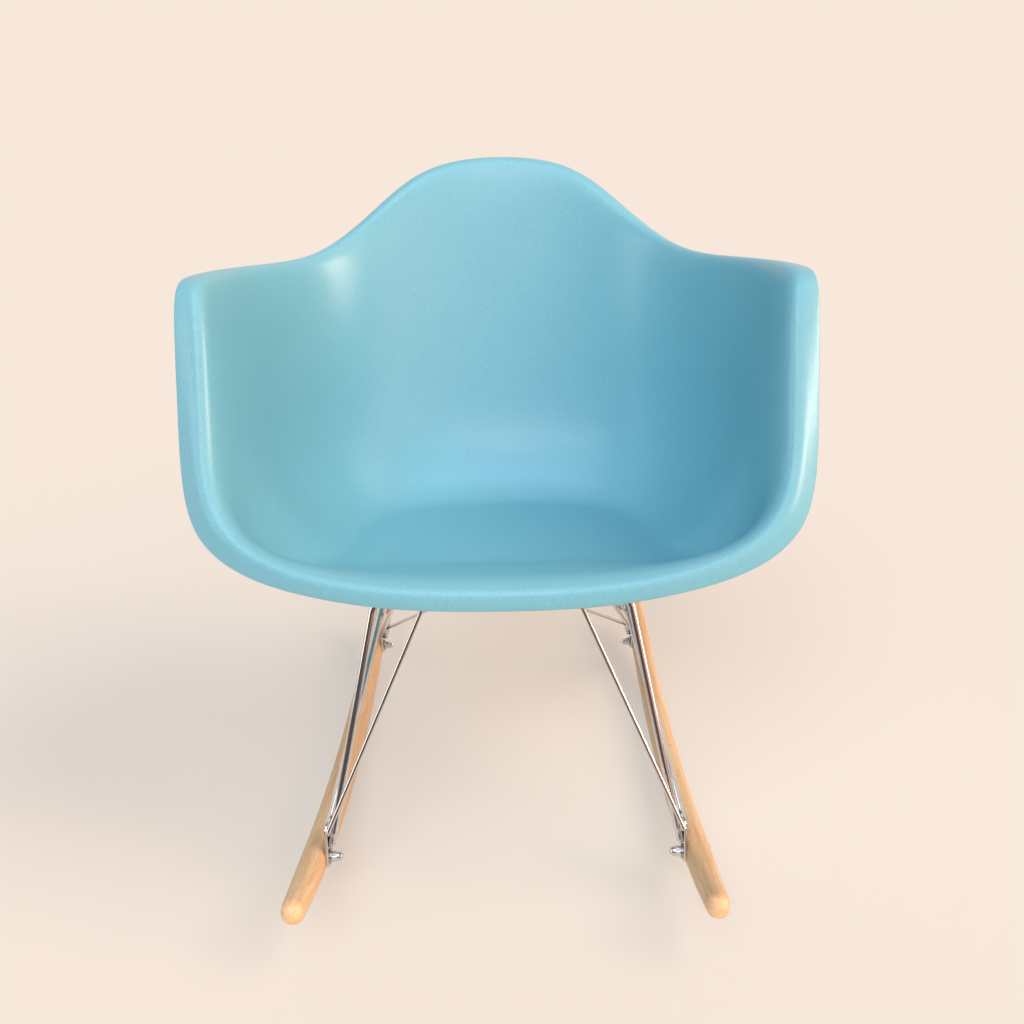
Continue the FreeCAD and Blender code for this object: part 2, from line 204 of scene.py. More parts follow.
def camera_axes():
    """Right, up and back axes of a camera that looks down by the pitch, then rolls."""
    flat = math.cos(pitch)
    ahead = np.array([math.sin(swing) * flat, math.cos(swing) * flat, -math.sin(pitch)])
    level = np.array([math.cos(swing), -math.sin(swing), 0.0])
    above = np.cross(level, ahead)
    right = level * math.cos(roll) + above * math.sin(roll)
    up = above * math.cos(roll) - level * math.sin(roll)
    return right, up, -ahead


def add_camera():
    """The lens in mm is the focal length in pixels times the sensor's width over the frame's."""
    data = bpy.data.cameras.new("camera")
    data.sensor_width = sensor_mm
    data.lens = focal_pixels * sensor_mm / frame_pixels
    data.clip_end = clip_end_m
    camera = new_object("camera", data)
    turn = Matrix(np.stack(camera_axes(), 1).tolist()).to_4x4()
    turn.translation = (eye * MM).tolist()
    camera.matrix_world = turn
    bpy.context.scene.camera = camera
    print("lens", round(data.lens, 2), "mm")


add_camera()

# %% [markdown]
# ## Lamps
# Wide soft lamps stand round the chair: sun lamps with a wide angle, which light the whole floor
# evenly. The warm ones on the right are a tall window, which throws the long shadow to the left. A
# fill lamp isn't seen in gloss. A card is a small bright board that only gloss shows: it draws one
# highlight.

# %% Lamps
lamps = [
    # name, degrees from front to right, height and width in degrees, strength, tint, role
    ("window_top", 82, 48, 36, 1.12, "#FFF6E8", "fill"),
    ("window_upper", 74, 33, 14, 0.32, "#FFCC9C", "fill"),
    ("window_middle", 81, 18, 14, 0.32, "#FFCE96", "fill"),
    ("window_low", 80, 4, 12, 0.26, "#FFEEDC", "lamp"),
    ("behind", 180, 50, 50, 0.27, "#F6F4FF", "fill"),
    ("front", 0, 18, 50, 0.72, "#FFE9DE", "fill"),
    ("front_left", -40, 20, 50, 0.28, "#D4FCFF", "fill"),
    ("front_right", 40, 20, 50, 1.16, "#FFD4B0", "fill"),
    ("front_high", -15, 52, 40, 0.85, "#DAF2FF", "fill"),
    ("band_middle", 0, 39, 16, 0.40, "#F2EAFA", "lamp"),
    ("band_left", -22, 39, 16, 0.26, "#C8ECFF", "lamp"),
    ("window_card", 88, 12, 12, 0.95, "#FFE6C8", "card"),
    ("left_card", -66, 17, 24, 0.36, "#FFF2E8", "card"),
    ("top_card", 0, 66, 28, 0.60, "#B8DCFF", "card"),
    ("warm_card", 36, 15, 36, 0.32, "#FFB898", "card"),
]
# metres: a sun's place only keeps it apart in the viewport
stand_off = 3


def add_lamps():
    """Turns each lamp to its direction and returns the light that reaches the floor by colour:
    strength times the sine of the height, divided by pi, for a white floor."""
    falling = np.zeros(3)
    for name, azimuth, height, width, strength, tint, role in lamps:
        data = bpy.data.lights.new(name, "SUN")
        data.angle = math.radians(width)
        data.energy = strength
        data.color = colour(tint)[:3]
        lamp = new_object(name, data)
        lamp.visible_glossy = role != "fill"
        lamp.visible_diffuse = role != "card"
        a, h = math.radians(azimuth), math.radians(height)
        toward = np.array([math.sin(a) * math.cos(h), -math.cos(a) * math.cos(h), math.sin(h)])
        side = unit(np.cross(UP, toward))
        axes = np.stack([side, np.cross(toward, side), toward], 1)
        lamp.matrix_world = Matrix(axes.tolist()).to_4x4()
        lamp.location = (toward * stand_off).tolist()
        if role != "card":
            falling += np.array(colour(tint)[:3]) * strength * math.sin(h) / math.pi
    return falling


lamp_light = add_lamps()
room_light = 1.0 - lamp_light
print("on the floor from lamps", lamp_light.round(3), "and from the room", room_light.round(3))

# %% [markdown]
# ## Floor and backdrop
# The photograph has one warm pale tone from the floor to the top, with only the chair's shadow on
# it. A painted floor that runs to the horizon does that. The room's soft light is what the lamps
# leave out of a level of 1, so the floor comes out in the tone it is painted, which the world
# behind it also shows. Chrome mirrors that tone. Toward the photographer the room is dark, and
# the floor has a painted reflection there, a dark tone that only gloss sees; both give the rods
# their dark stripes.

# %% Floor
backdrop_tone, dark_tone = "#F8E8DB", "#625856"
shadow_fill = 0.35
# painted reflection: gloss sees the floor dark between these places before the chair's middle, in
# metres
painted_dark_floor_y = (-0.9, -0.35)


def viewing_shares(tree, space, dark_y):
    """Two shares: 1 where the eye or a mirror sees the surface, and 1 where gloss sees it below
    the first y, falling to 0 at the second."""
    ray = add(tree, "LightPath").outputs
    bounced = {0: ray["Is Glossy Ray"], 1: ray["Is Transmission Ray"]}
    mirror = add(tree, "Math", bounced, operation="MAXIMUM")
    seen = add(tree, "Math", {0: ray["Is Camera Ray"], 1: mirror}, operation="MAXIMUM")
    place = add(tree, "SeparateXYZ", {"Vector": add(tree, "TexCoord").outputs[space]})
    near = add(tree, "MapRange", {
        "Value": place.outputs["Y"],
        "From Min": dark_y[0], "From Max": dark_y[1], "To Min": 1, "To Max": 0,
    })
    return seen, add(tree, "Math", {0: near, 1: ray["Is Glossy Ray"]}, operation="MULTIPLY")


def painted_floor():
    """Matt paint that glows a little in its own tone to the eye and in mirrors, which makes the
    shadow on it paler, as the photograph has it. Before the chair it has a painted reflection:
    gloss sees it in the dark tone."""
    material, tree = new_material("matt_studio_floor_paint")
    seen, darkened = viewing_shares(tree, "Object", painted_dark_floor_y)
    share = add(tree, "Math", {0: seen, 1: shadow_fill}, operation="MULTIPLY")
    tone = {"Color": colour(backdrop_tone)}
    paint, glow = add(tree, "BsdfDiffuse", tone), add(tree, "Emission", tone)
    both = add(tree, "MixShader", {0: share, 1: paint, 2: glow})
    # painted reflection: a dark tone that only gloss sees, before the chair
    dark = add(tree, "Emission", {"Color": colour(dark_tone)})
    mixed = add(tree, "MixShader", {0: darkened, 1: both, 2: dark})
    add(tree, "OutputMaterial", {"Surface": mixed})
    return material


def add_floor(reach=60.0):
    """A level square, the reach in metres from its middle to each side."""
    mesh = bpy.data.meshes.new("studio_floor")
    square = [(x * reach, y * reach, 0.0) for x, y in ((-1, -1), (1, -1), (1, 1), (-1, 1))]
    mesh.from_pydata(square, [], [(0, 1, 2, 3)])
    mesh.materials.append(painted_floor())
    floor = new_object("studio_floor", mesh)
    print("floor", 2 * reach, "m wide in", backdrop_tone)


add_floor()

# %% [markdown]
# The world is the room, which lights matt surfaces and shows in the chrome. A panorama could do
# that, but two plain tones mixed by direction are easier to match to a photograph.

# %% World
# the room turns dark in gloss between these directions, negative toward the photographer
dark_world_y = (-0.55, -0.30)


def add_world():
    """Soft light for matt surfaces, and for the eye and mirrors the backdrop's tone, mixed with
    the dark one where gloss looks toward the photographer."""
    world = bpy.data.worlds.new("studio")
    world.use_nodes = True
    tree = world.node_tree
    tree.nodes.clear()
    seen, darkened = viewing_shares(tree, "Generated", dark_world_y)
    level = float(room_light.max())
    tint = (*(room_light / level).tolist(), 1.0)
    soft = add(tree, "Background", {"Color": tint, "Strength": level})
    tones = {"Factor": darkened, "A": colour(backdrop_tone), "B": colour(dark_tone)}
    tone = add(tree, "Mix", tones, data_type="RGBA")
    shown = add(tree, "Background", {"Color": tone})
    both = add(tree, "MixShader", {0: seen, 1: soft, 2: shown})
    add(tree, "OutputWorld", {"Surface": both})
    bpy.context.scene.world = world
    print("the room's light", round(level, 3), "tinted", np.round(tint[:3], 3))


add_world()

# %% [markdown]
# ## Moulded plastic
# The shell is polypropylene from a finely textured steel mould. It is satin, not glossy:
# highlights are wide and soft, a fine grain breaks them up, and use leaves a few faint pale scuffs.
# The colour is in the plastic, so it varies only slightly. The patterns are noises in the chair's
# own space, because a flat pattern doesn't wrap round a bowl. A noise of scale 620 has its bumps
# 1000 / 620 mm apart.

# %% Shell material
def moulded_polypropylene():
    """Painted shade darkens the hollows of the grain, and scuffs are paler. The relief's height is
    0.12 times the grain plus the wave."""
    material, tree = new_material("moulded_polypropylene")
    place = add(tree, "TexCoord").outputs["Object"]
    # mould grain, 1.6 mm between bumps, coarser than the real 0.3 mm so that it shows
    fine = {"Vector": place, "Scale": 620, "Detail": 2, "Roughness": 0.6}
    grain = add(tree, "TexNoise", fine)
    # the skin of a moulding waves very slightly as it cools, 90 mm from crest to crest
    wave = add(tree, "TexNoise", {"Vector": place, "Scale": 11, "Detail": 1})
    # clouds of pigment 170 mm across
    tone = add(tree, "TexNoise", {"Vector": place, "Scale": 6, "Detail": 3})
    # painted shade: the grain's hollows get a darker blue
    hollow_shade_mask = add(tree, "MapRange", {"Value": grain, "From Min": 0.3, "From Max": 0.7})
    blue = add(tree, "ValToRGB", {"Fac": tone})
    ramp_stops(blue, [(0.3, "#7BBACB"), (0.7, "#82C0D0")])
    grain_with_painted_shade = {"Factor": hollow_shade_mask, "A": colour("#72B0C2"), "B": blue}
    # scuffs up to 17 mm across
    patches = {"Vector": place, "Scale": 60, "Detail": 4, "Roughness": 0.7}
    scuffs = add(tree, "TexNoise", patches)
    worn = add(tree, "MapRange", {"Value": scuffs, "From Min": 0.73, "From Max": 0.80})
    scuffed = {
        "Factor": worn, "A": add(tree, "Mix", grain_with_painted_shade, data_type="RGBA"), "B": colour("#A9DCE8"),
    }
    height = add(tree, "Math", {0: grain, 1: 0.12, 2: wave}, operation="MULTIPLY_ADD")
    surface = add(tree, "BsdfPrincipled", {
        "Base Color": add(tree, "Mix", scuffed, data_type="RGBA"),
        "Roughness": add(tree, "MapRange", {"Value": tone, "To Min": 0.29, "To Max": 0.35}),
        "Normal": add(tree, "Bump", {"Height": height, "Strength": 0.55, "Distance": 0.0006}),
        "IOR": 1.49,
    })
    add(tree, "OutputMaterial", {"Surface": surface})
    return material


plastic = moulded_polypropylene()
print(plastic.name, "from", len(plastic.node_tree.nodes), "nodes")

# %% [markdown]
# ## The shell's surface
# A shell like this has no flat face and no seam, so it is one B-spline surface over a net of
# points. Eighteen stations of one half give three lines: where the seat ends, where the wall turns
# over, and the free edge. The net goes up the outside, round the edge and back down the inside, a
# wall's thickness further in.

# %% Lines of the shell
shell_width, shell_depth, seat_height, wall = 619, 553, 301, 5
underside_height = seat_height - wall
# x, y and height above the underside, from the middle of the front round to that of the back
foot_line = [
    (0, -150, 27), (70, -150, 27), (140, -149, 26), (195, -145, 23), (228, -136, 18),
    (243, -120, 12), (249, -100, 8), (251, -78, 4), (252, -55, 1), (252, -25, -2),
    (250, 20, -5), (243, 65, -7), (222, 115, -8), (190, 150, -8), (150, 170, -7),
    (105, 182, -6), (55, 188, -5), (0, 190, -5),
]
shoulder_line = [
    (0, -246, 57), (88, -244, 58), (163, -238, 66), (226, -222, 83), (261, -198, 111),
    (276, -168, 153), (278, -141, 206), (280, -117, 262), (282, -97, 306), (281, -50, 312),
    (278, 12, 309), (264, 74, 305), (238, 138, 301), (205, 191, 307), (162, 238, 336),
    (114, 269, 378), (66, 289, 398), (0, 295, 404),
]
rim_line = [
    (0, -240, 32), (92, -238, 33), (171, -230, 43), (239, -212, 56), (286, -184, 81),
    (302, -154, 124), (304, -128, 193), (306, -103, 260), (306, -88, 306), (304, -50, 306),
    (298, 10, 302), (281, 76, 298), (250, 145, 294), (216, 200, 299), (169, 248, 333),
    (120, 280, 378), (71, 300, 401), (0, 306, 407),
]
seat_middle = np.array([0.0, -10.0, underside_height])
seat_slope = 0.06
# rows of the seat: share of the way to its edge and of the edge's height
seat_rows = ((0.08, 0), (0.16, 0), (0.40, 0), (0.64, 0.2))
# the bend round the seat: its size, what the sides and the back add, and its share inside
bend_shares, bend_inside = (0.10, 0.26, 0.12), 0.7
# rows of the wall and the free edge: share of the way, and what the front adds to it
wall_rows = ((0.60, 0), (0.88, -0.22))
edge_rows = ((0.12, 0.50), (0.65, 0.26), (1, 0))
# the rows round the free edge: how far past it, in walls, and where across it
lip_reach, lip_shares = 0.55, (0.1, 0.9)


def whole(line):
    """Both halves of a line, as points at their real heights: the other half has x turned over."""
    half = np.array(line, float) + [0.0, 0.0, underside_height]
    return np.vstack([half, half[-2:0:-1] * FLIP])


def on_seat(points):
    """The same places on the sloping seat: height falls evenly toward the back."""
    flat = points.copy()
    flat[:, 2] = underside_height - seat_slope * (points[:, 1] - seat_middle[1])
    return flat


def outside_net():
    """Rows of the outside: shares of the way to the seat's edge, the bend, then the wall. At the
    front the rows beside the shoulder move away from it, which makes the lip's bend wider."""
    foot, shoulder, rim = whole(foot_line), whole(shoulder_line), whole(rim_line)
    rows = []
    for share, lift in seat_rows:
        row = on_seat(seat_middle + (foot - seat_middle) * share)
        row[:, 2] += lift * (foot[:, 2] - on_seat(foot)[:, 2])
        rows.append(row)
    aside = foot[:, 0] * 2 / shell_width
    behind = np.maximum(foot[:, 1], 0) * 2 / shell_depth
    bend = (bend_shares[0] + bend_shares[1] * aside ** 2 + bend_shares[2] * behind ** 2)[:, None]
    length = np.linalg.norm(shoulder - foot, axis=1)[:, None]
    rows.append(foot + unit(seat_middle - foot) * length * bend * bend_inside)
    rows.append(foot + (shoulder - foot) * bend)
    ahead = (np.maximum(-shoulder[:, 1:2] * 2 / shell_depth, 0)) ** 4
    for share, shift in wall_rows:
        rows.append(foot + (shoulder - foot) * (share + shift * ahead))
    for share, shift in edge_rows:
        rows.append(shoulder + (rim - shoulder) * (share + shift * ahead))
    return np.array(rows)


def whole_net():
    """Outside rows, two rows round the free edge, then the outside rows moved in by the wall."""
    outside = outside_net()
    last = len(outside) - 1
    along = np.roll(outside, -1, 1) - np.roll(outside, 1, 1)
    i = np.arange(last + 1)
    across = outside[np.minimum(i + 1, last)] - outside[np.maximum(i - 1, 0)]
    normal = unit(np.cross(across, along))
    normal[:2] = unit(np.array([0.0, seat_slope, 1.0]))
    inside = outside + normal * wall
    ahead = unit(outside[-1] - outside[-2]) * wall * lip_reach
    lip = [outside[-1] + (inside[-1] - outside[-1]) * share + ahead for share in lip_shares]
    return np.concatenate([outside, np.array(lip), inside[::-1]])


print("net", whole_net().shape)

# %% [markdown]
# A cubic B-spline point is a weighted mean of four neighbouring net points. Round the chair the
# weights repeat, and across it they are clamped, so that the surface starts on the first row. Both
# sets of weights are matrices, and one product makes all the points.

# %% B-spline weights
def weights_round(count, samples):
    """Closed uniform cubic: the four cubic blending polynomials of the fraction between knots."""
    t = np.arange(samples) * count / samples
    knot = np.floor(t).astype(int)
    f = t - knot
    table = np.zeros((samples, count))
    parts = [(1 - f) ** 3, 3 * f ** 3 - 6 * f ** 2 + 4, 3 * (f + f ** 2 - f ** 3) + 1, f ** 3]
    for step, part in enumerate(parts):
        np.add.at(table, (np.arange(samples), (knot + step - 1) % count), part / 6)
    return table


def weights_across(count, t):
    """Clamped cubic: each degree blends two neighbours of the degree below. The last place is
    taken just before the last knot."""
    knots = np.concatenate([[0] * 3, np.arange(count - 2), [count - 3] * 3]).astype(float)
    t = np.minimum(t, count - 3 - 1e-9)[:, None]
    table = ((t >= knots[:-1]) & (t < knots[1:])).astype(float)
    for degree in (1, 2, 3):
        low, high = knots[:-degree - 1], knots[degree + 1:]
        rise, fall = knots[degree:-1] - low, high - knots[1:-degree]
        # where knots coincide, an endless span gives the share 0
        rise[rise == 0], fall[fall == 0] = np.inf, np.inf
        table = (t - low) / rise * table[:, :-1] + (high - t) / fall * table[:, 1:]
    return table


def shell_points(around=340, across=238):
    """Points of the shell: weights across times net times weights round."""
    net = whole_net()
    t = np.linspace(0, net.shape[0] - 3, across)
    rows, columns = weights_across(net.shape[0], t), weights_round(net.shape[1], around)
    return np.einsum("ri,ijk,cj->rck", rows, net, columns)


shell = shell_points()
print("shell from", shell.min((0, 1)).round(1), "to", shell.max((0, 1)).round(1))

# %% [markdown]
# ## Bosses under the seat
# Four round bosses under the shell hold the brass inserts for the screws. Each is a turned shape
# whose outer ring flows into the underside, where a curved sheet fitted to the points nearby gives
# the height.

# %% Shell with its bosses
mount_x, front_hole_y, rear_hole_y = 88, -134, 94
boss_d, hollow_width, boss_sides = 25, 3.2, 64
# the last ring is buried in the wall, and the others lie just outside it
buried, outside_by = 1, 0.02
# radius and height above the foot, from the insert out to the end of the hollow curve
boss_rows = [
    (4.85, 1.0), (4.85, 0.25), (5.1, 0.0), (11.6, 0.0), (12.2, 0.12), (12.45, 0.4), (12.5, 0.8),
    (12.6, 1.5), (13.0, 2.2), (13.8, 2.8), (15.0, 3.2), (16.6, 3.4), (16.6, 4.4),
]
# the patch of underside that is fitted, its unit, and the rows left out near the free edge
patch_radius, patch_unit, rows_near_edge = 34, 30, 12


def underside(x, y):
    """Heights of the underside near one place, from a second-degree fit to the points there."""
    under = shell[:shell.shape[0] // 2 - rows_near_edge].reshape(-1, 3)
    away = np.hypot(under[:, 0] - x.mean(), under[:, 1] - y.mean())
    near = under[away < patch_radius]

    def terms(a, b):
        """1, a, b, a squared, a times b and b squared, from the patch's middle."""
        a, b = (a - x.mean()) / patch_unit, (b - y.mean()) / patch_unit
        return np.stack([a * 0 + 1, a, b, a * a, a * b, b * b], -1)

    fit = np.linalg.lstsq(terms(near[:, 0], near[:, 1]), near[:, 2], rcond=None)[0]
    return terms(x, y) @ fit


def boss(sign, hole_y, foot_z):
    """Rings from the insert to the edge, up the side and out along a hollow curve, where the
    height goes over to the underside's by a power of the way across."""
    turn = np.linspace(0, 2 * math.pi, boss_sides, endpoint=False)[None, :]
    radius, lift = np.array(boss_rows).T[:, :, None]
    x = sign * mount_x + radius * np.cos(turn)
    y = hole_y + radius * np.sin(turn)
    blend = np.clip((radius - boss_d / 2) / hollow_width, 0, 1) ** 0.7
    into_wall = np.where(lift == lift[-1], buried, -outside_by)
    z = (foot_z + lift) * (1 - blend) + (underside(x, y) + into_wall) * blend
    return np.stack([x, y, z], -1), False


mounts = [
    (end, hole_y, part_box(end + "_pad_left")[1].z / MM)
    for end, hole_y in (("front", front_hole_y), ("rear", rear_hole_y))
]
bosses = [boss(sign, hole_y, foot_z) for sign in (-1, 1) for _, hole_y, foot_z in mounts]
make_piece("shell", [(shell, False)] + bosses, plastic, ["seat_shell"])

# %% [markdown]
# ## Beech rockers
# The rockers are beech, steamed and bent, then rounded and lacquered. Beech is pale honey with a
# fine, straight grain that follows the bend, and short darker flecks. The model's rockers have the
# right shape, so they stay. The grain follows their curve: the distance from the middle of the
# bend gives the height in the wood, and the angle there the length.

# %% Beech material
bend_middle_y, bend_radius_mm = 20, 1150


def lacquered_beech():
    """Angle: the arc tangent of back over drop. Length: the angle times the radius. Height: the
    root of back squared plus drop squared."""
    material, tree = new_material("lacquered_beech")
    place = add(tree, "TexCoord").outputs["Object"]
    part = add(tree, "SeparateXYZ", {"Vector": place}).outputs
    middle, radius = bend_middle_y * MM, bend_radius_mm * MM
    back = add(tree, "Math", {0: part["Y"], 1: middle}, operation="SUBTRACT")
    drop = add(tree, "Math", {0: radius, 1: part["Z"]}, operation="SUBTRACT")
    angle = add(tree, "Math", {0: back, 1: drop}, operation="ARCTAN2")
    length = add(tree, "Math", {0: angle, 1: radius}, operation="MULTIPLY")
    square = add(tree, "Math", {0: drop, 1: drop}, operation="MULTIPLY")
    total = add(tree, "Math", {0: back, 1: back, 2: square}, operation="MULTIPLY_ADD")
    far = add(tree, "Math", {0: total}, operation="SQRT")
    wood = add(tree, "CombineXYZ", {"X": part["X"], "Y": length, "Z": far})
    # growth bands 5 mm apart, drawn out nearly forty times along the length
    drawn = add(tree, "Mapping", {"Vector": wood, "Scale": (190, 5, 190)})
    bands = add(tree, "TexNoise", {
        "Vector": drawn, "Scale": 1, "Detail": 3, "Roughness": 0.55, "Distortion": 0.6,
    })
    # fibres 0.8 mm apart, coarser than the real 0.1 mm so that they show
    fine = add(tree, "Mapping", {"Vector": wood, "Scale": (1250, 26, 1250)})
    fibres = add(tree, "TexNoise", {"Vector": fine, "Scale": 1, "Detail": 2})
    # rays cut across by the sides: dark dashes 4 mm long
    dashes = add(tree, "Mapping", {"Vector": wood, "Scale": (500, 120, 900)})
    flecks = add(tree, "TexNoise", {"Vector": dashes, "Scale": 1, "Detail": 1})
    tone = add(tree, "ValToRGB", {"Fac": bands})
    ramp_stops(tone, [(0.32, "#E3AF7C"), (0.50, "#EDBD8D"), (0.64, "#F3C99C")])
    thread = add(tree, "MapRange", {
        "Value": fibres, "From Min": 0.35, "From Max": 0.65, "To Min": 0.92, "To Max": 1.03,
    })
    threaded = {"Factor": 1.0, "A": tone, "B": thread}
    fibrous = add(tree, "Mix", threaded, data_type="RGBA", blend_type="MULTIPLY")
    fleck = add(tree, "MapRange", {
        "Value": flecks, "From Min": 0.63, "From Max": 0.72, "To Max": 0.38,
    })
    flecked = {"Factor": fleck, "A": fibrous, "B": colour("#C28A55")}
    surface = add(tree, "BsdfPrincipled", {
        "Base Color": add(tree, "Mix", flecked, data_type="RGBA"),
        "Roughness": 0.5,
        "Normal": add(tree, "Bump", {"Height": fibres, "Strength": 0.12, "Distance": 0.0003}),
        "IOR": 1.5,
        "Coat Weight": 0.25,
        "Coat Roughness": 0.3,
    })
    add(tree, "OutputMaterial", {"Surface": surface})
    return material


def dress(nodes, material):
    """Gives carried-over nodes their material."""
    for name in nodes:
        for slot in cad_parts[name].material_slots:
            slot.material = material
    print(material.name, "on", ", ".join(nodes))


beech = lacquered_beech()
rockers = ["rocker_left", "rocker_right"]
dress(rockers, beech)
for name in rockers:
    # the wood's orange glow stays off the pale floor, as in the photograph
    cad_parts[name].visible_diffuse = False

# %% [markdown]
# ## Chromed wire
# The base is steel rod with bright chrome plate. Chrome is nearly colourless and mirrors the
# room, so each rod shows a few long stripes: floor, wall and lamp. Faint waves along the rod make
# them waver. Screws are zinc-plated, inserts are turned brass and pads are rubber. All four vary a
# little in tone and relief, and the metals in roughness too, so one function makes them.

# %% Chrome, other metals and rubber
def marked_finish(name, stops, marks, pits, roughness, relief, **settings):
    """Tone and relief follow one noise, the marks, and roughness another, the pits. A noise is
    given as scale and detail, and the relief as strength and depth in metres."""
    material, tree = new_material(name)
    place = add(tree, "TexCoord").outputs["Object"]
    waves, spots = (
        add(tree, "TexNoise", {"Vector": place, "Scale": scale, "Detail": detail})
        for scale, detail in (marks, pits)
    )
    tint = add(tree, "ValToRGB", {"Fac": waves})
    ramp_stops(tint, stops)
    dull = {"Value": spots, "To Min": roughness[0], "To Max": roughness[1]}
    bumps = {"Height": waves, "Strength": relief[0], "Distance": relief[1]}
    surface = add(tree, "BsdfPrincipled", {
        "Base Color": tint,
        "Roughness": add(tree, "MapRange", dull),
        "Normal": add(tree, "Bump", bumps),
        **settings,
    })
    add(tree, "OutputMaterial", {"Surface": surface})
    return material


# rod drawn through a die has waves 14 mm long, and pits 1 mm apart dull the plate in spots
chrome = marked_finish(
    "chrome_plated_steel", [(0.3, "#CFCFD2"), (0.7, "#DADADB")],
    (70, 2), (900, 1), (0.07, 0.16), (0.1, 0.0004), Metallic=1,
)
# zinc plate is a greyer silver with a satin bloom, mottled every 2 mm
zinc = marked_finish(
    "zinc_plated_steel", [(0.3, "#B4B5B8"), (0.7, "#C6C6C8")],
    (500, 3), (500, 3), (0.16, 0.28), (0.1, 0.0002), Metallic=1,
)
# turned brass has tool marks, here 2.5 mm apart, coarser than the real 0.2 mm
brass = marked_finish(
    "turned_brass", [(0.3, "#C8A35C"), (0.7, "#DBB96F")],
    (400, 3), (400, 3), (0.25, 0.38), (0.1, 0.0002), Metallic=1,
)
# vulcanised rubber is matt and near-black, and greyish bloom in 6 mm patches lifts its shade
rubber = marked_finish(
    "vulcanised_rubber", [(0.35, "#232325"), (0.7, "#343436")],
    (160, 3), (160, 3), (0.75, 0.75), (0.2, 0.0003), IOR=1.52,
)
dress(["mount_inserts"], brass)

# %% [markdown]
# ## Where the rods run
# The base has the same sizes as the model: the feet stand beside the rockers at the bolts, and the
# crossbars lie just under the mounting tabs. Each leg is a straight line from foot to crossbar, and
# other rods start from a height on a leg.

# %% Places of the base
rocker_spacing, rocker_width, rocker_height = 390, 25, 36
foot_y, rod_d, brace_d = 233, 8, 4.5
plate_thickness, plate_half, plate_rise = 3, 10.5, 28
front_bar_y, rear_bar_y, bar_half = -150, 110, 128
# a leg's lower end: inward from the plate, above the bolt and beyond it
leg_standoff, leg_end_rise, leg_end_lean = 2, 12, 1
# how far the welded pieces reach into each other
weld_sink, weld_overlap, diagonal_inset, brace_inset = 0.8, 1, 2.5, 0.2
# rods end this far below the crossbar's middle, and this far from the chair's
diagonal_drop, brace_step, front_brace_x, rear_brace_x = 0.6, 3, 76, 40
crossing_gap = 2.2
inner_face = -(rocker_spacing - rocker_width) / 2
plate_face = inner_face + plate_thickness
front_bar_z, rear_bar_z = (
    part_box(end + "_tab_left")[0].z / MM + weld_sink - rod_d / 2 for end in ("front", "rear")
)


def under_rocker(y):
    """Height of the rocker's underside: the gap between the floor and the arc."""
    return bend_radius_mm - math.sqrt(bend_radius_mm ** 2 - (y - bend_middle_y) ** 2)


def leg_line(sign, bar_y, bar_z):
    """A leg's two ends: beside the foot plate, and at the corner of its crossbar."""
    foot = [plate_face + leg_standoff, sign * (foot_y + leg_end_lean), bolt_z[sign] + leg_end_rise]
    return np.array(foot), np.array([-bar_half, bar_y, bar_z])


def on_leg(leg, z):
    """The leg's point at one height."""
    foot, corner = leg
    return foot + (corner - foot) * ((z - foot[2]) / (corner[2] - foot[2]))


def inboard_end(low, other_low, other_high):
    """Upper end of a rod that passes inboard of another. Two equations, for y and z, give how far
    along each of them the two cross."""
    run, other = np.array([front_bar_y, front_bar_z]) - low[1:], other_high - other_low
    along, other_along = np.linalg.solve(np.stack([run, -other[1:]], 1), other_low[1:] - low[1:])
    x = other_low[0] + other[0] * other_along + rod_d + crossing_gap
    return np.array([low[0] + (x - low[0]) / along, front_bar_y, front_bar_z])


def diagonal_foot(leg, sign):
    """Lower end of a diagonal: beside the top of the foot plate, just inside its edge."""
    _, y, z = on_leg(leg, bolt_z[sign] + plate_rise)
    x = inner_face + rod_d / 2 - diagonal_inset
    return np.array([x, y - sign * (plate_half - weld_overlap), z - weld_overlap])


bolt_z = {sign: under_rocker(sign * foot_y) + rocker_height / 2 for sign in (-1, 1)}
front_leg, rear_leg = leg_line(-1, front_bar_y, front_bar_z), leg_line(1, rear_bar_y, rear_bar_z)
front_low, rear_low = diagonal_foot(front_leg, -1), diagonal_foot(rear_leg, 1)
front_high = rear_leg[1]
rear_high = inboard_end(rear_low, front_low, front_high)
_, brace_y, brace_z = on_leg(front_leg, bolt_z[-1] + plate_rise + weld_overlap)
front_brace_low = np.array([
    inner_face + brace_d / 2 + brace_inset, brace_y - plate_half + weld_overlap / 2, brace_z,
])
front_brace_high = np.array([-front_brace_x, front_bar_y - brace_step, front_bar_z - brace_step])
rear_brace_low = on_leg(rear_leg, bolt_z[1] + plate_rise + rod_d / 2)
rear_brace_high = np.array([-rear_brace_x, front_bar_y, front_bar_z])
print("crossbars at", round(front_bar_z, 1), round(rear_bar_z, 1))

# %% [markdown]
# ## Rods with welds
# A rod is a circle carried along a line. Both ends are rounded, and where an end is welded the
# radius swells into a small uneven bead, as the molten metal leaves it.

# %% Rods
rod_sides = 40
round_rod = np.linspace(0, 2 * math.pi, rod_sides, endpoint=False)[:, None]


def sweep(centres, along, side, radii):
    """Circles of the given radii, square to the line: centre + r (side cos + other sin)."""
    other = np.cross(np.broadcast_to(along, centres.shape), side)[:, None, :]
    ring = side * np.cos(round_rod) + other * np.sin(round_rod)
    return centres[:, None, :] + radii[:, :, None] * ring, False


def distances(length, radius):
    """Rings along a rod: close together at its rounded ends and beads, few between them."""
    tip = radius * (1 - np.cos(np.linspace(0.05, math.pi / 2, 7)))
    end = np.concatenate([tip, radius + np.linspace(0.4, 3 * radius, 14)])
    middle = np.linspace(end[-1], length - end[-1], 12)[1:-1]
    return np.concatenate([end, middle, (length - end)[::-1]])


